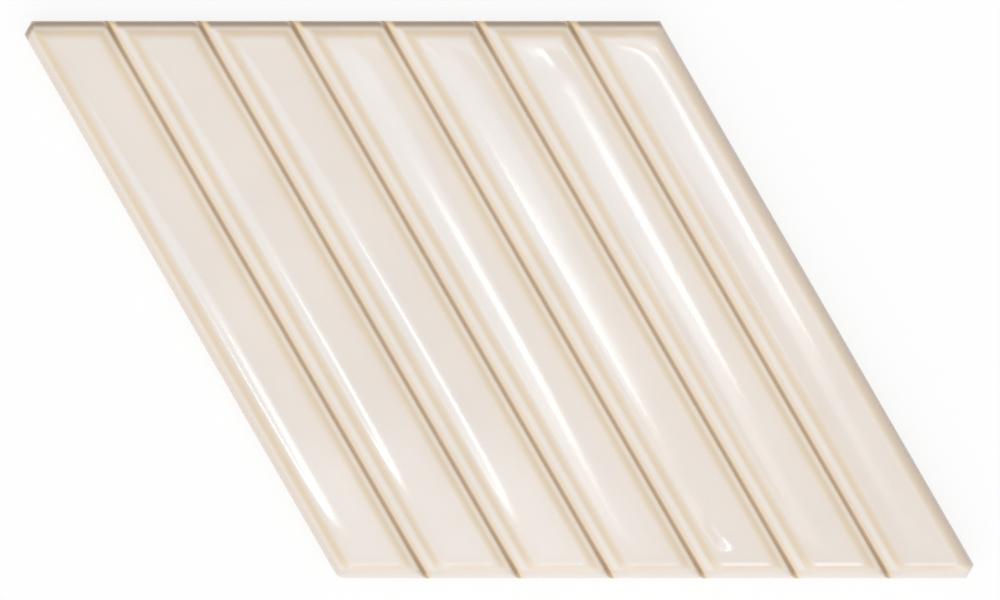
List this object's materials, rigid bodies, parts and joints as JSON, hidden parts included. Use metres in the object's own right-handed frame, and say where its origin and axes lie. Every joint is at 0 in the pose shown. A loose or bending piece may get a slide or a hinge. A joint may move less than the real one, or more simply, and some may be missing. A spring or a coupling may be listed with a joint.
{
  "type": "ceramic wall tile",
  "caption": "Rhombus glazed ceramic wall tile with parallel hollow-topped ribs along its slanted sides, narrow grooves between them, rolled edges and a keyed back for adhesive.",
  "frame": {"origin": "centre of the back, at the level of its lands", "axes": "+X along the tile's two level sides, +Z out of the glazed face; the ribs run from -X +Y to +X -Y, at 60 degrees to X"},
  "size_m": [0.2242, 0.1316, 0.01],
  "materials": {
    "glazed_body": "glossy cream glaze, thin and amber along the crests and brown in the grooves, over a buff body that is bare on the back"
  },
  "bodies": {
    "root": {"tile": "glazed_body"}
  },
  "joints": []
}
